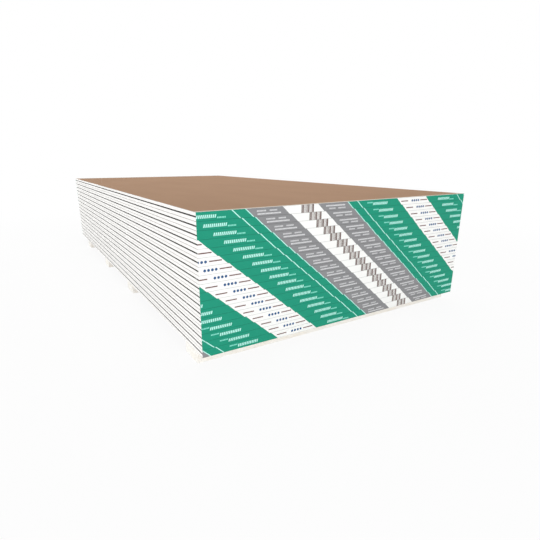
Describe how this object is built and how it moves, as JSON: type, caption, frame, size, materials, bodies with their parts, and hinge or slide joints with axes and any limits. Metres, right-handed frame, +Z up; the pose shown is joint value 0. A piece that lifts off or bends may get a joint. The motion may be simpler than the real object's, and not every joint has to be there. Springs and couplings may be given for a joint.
{
  "type": "stack of drywall sheets",
  "caption": "Square stack of tapered-edge drywall sheets, laid face to face in pairs with printed end tapes, on cross spacers that leave room for lifting forks.",
  "frame": {"origin": "on the floor, under the middle of the stack", "axes": "+X across the width of the sheets, +Y along their length from the front end to the back end, +Z up"},
  "size_m": [1.2192, 2.4388, 0.4782],
  "materials": {
    "board": "matte wrapped paper, ivory on face and long edges, brown on the back",
    "printed_tape": "smooth printed paper in plain green, grey and white stripes",
    "spacer": "matte cream paper and sawn gypsum"
  },
  "bodies": {
    "root": {"sheet_01": "board", "sheet_02": "board", "sheet_03": "board", "sheet_04": "board", "sheet_05": "board", "sheet_06": "board", "sheet_07": "board", "sheet_08": "board", "sheet_09": "board", "sheet_10": "board", "sheet_11": "board", "sheet_12": "board", "sheet_13": "board", "sheet_14": "board", "sheet_15": "board", "sheet_16": "board", "sheet_17": "board", "sheet_18": "board", "sheet_19": "board", "sheet_20": "board", "sheet_21": "board", "sheet_22": "board", "sheet_23": "board", "sheet_24": "board", "sheet_25": "board", "sheet_26": "board", "sheet_27": "board", "sheet_28": "board", "sheet_29": "board", "sheet_30": "board", "sheet_31": "board", "sheet_32": "board", "sheet_33": "board", "sheet_34": "board", "end_tapes_01": "printed_tape", "end_tapes_02": "printed_tape", "end_tapes_03": "printed_tape", "end_tapes_04": "printed_tape", "end_tapes_05": "printed_tape", "end_tapes_06": "printed_tape", "end_tapes_07": "printed_tape", "end_tapes_08": "printed_tape", "end_tapes_09": "printed_tape", "end_tapes_10": "printed_tape", "end_tapes_11": "printed_tape", "end_tapes_12": "printed_tape", "end_tapes_13": "printed_tape", "end_tapes_14": "printed_tape", "end_tapes_15": "printed_tape", "end_tapes_16": "printed_tape", "end_tapes_17": "printed_tape", "spacer_1": "spacer", "spacer_2": "spacer", "spacer_3": "spacer", "spacer_4": "spacer"}
  },
  "joints": []
}
